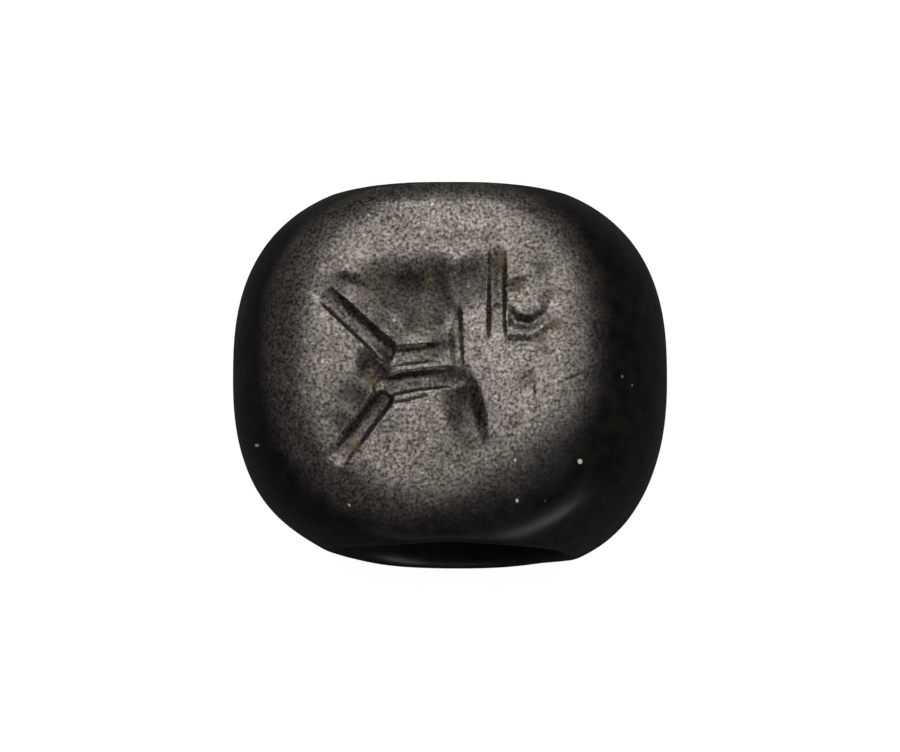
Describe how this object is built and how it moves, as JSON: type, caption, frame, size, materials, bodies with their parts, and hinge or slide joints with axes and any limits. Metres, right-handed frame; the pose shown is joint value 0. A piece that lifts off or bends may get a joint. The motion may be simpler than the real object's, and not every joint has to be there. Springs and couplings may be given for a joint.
{
  "type": "stamp seal",
  "caption": "Rounded black stone stamp seal with a wide bore for a cord and an animal cut into its flattened face, for pressing into clay.",
  "frame": {"origin": "centre of the box round the stone, at the bottom, in the plane of the small flat spot on its back", "axes": "+X across the bore, to the right as the carved face is looked at in the picture; +Y along the bore, up the picture; +Z straight out of the carved face"},
  "size_m": [0.0188, 0.016, 0.014],
  "materials": {
    "black_stone": "worn polish, with the carved face ground dull and speckled grey"
  },
  "bodies": {
    "root": {"seal": "black_stone"}
  },
  "joints": []
}
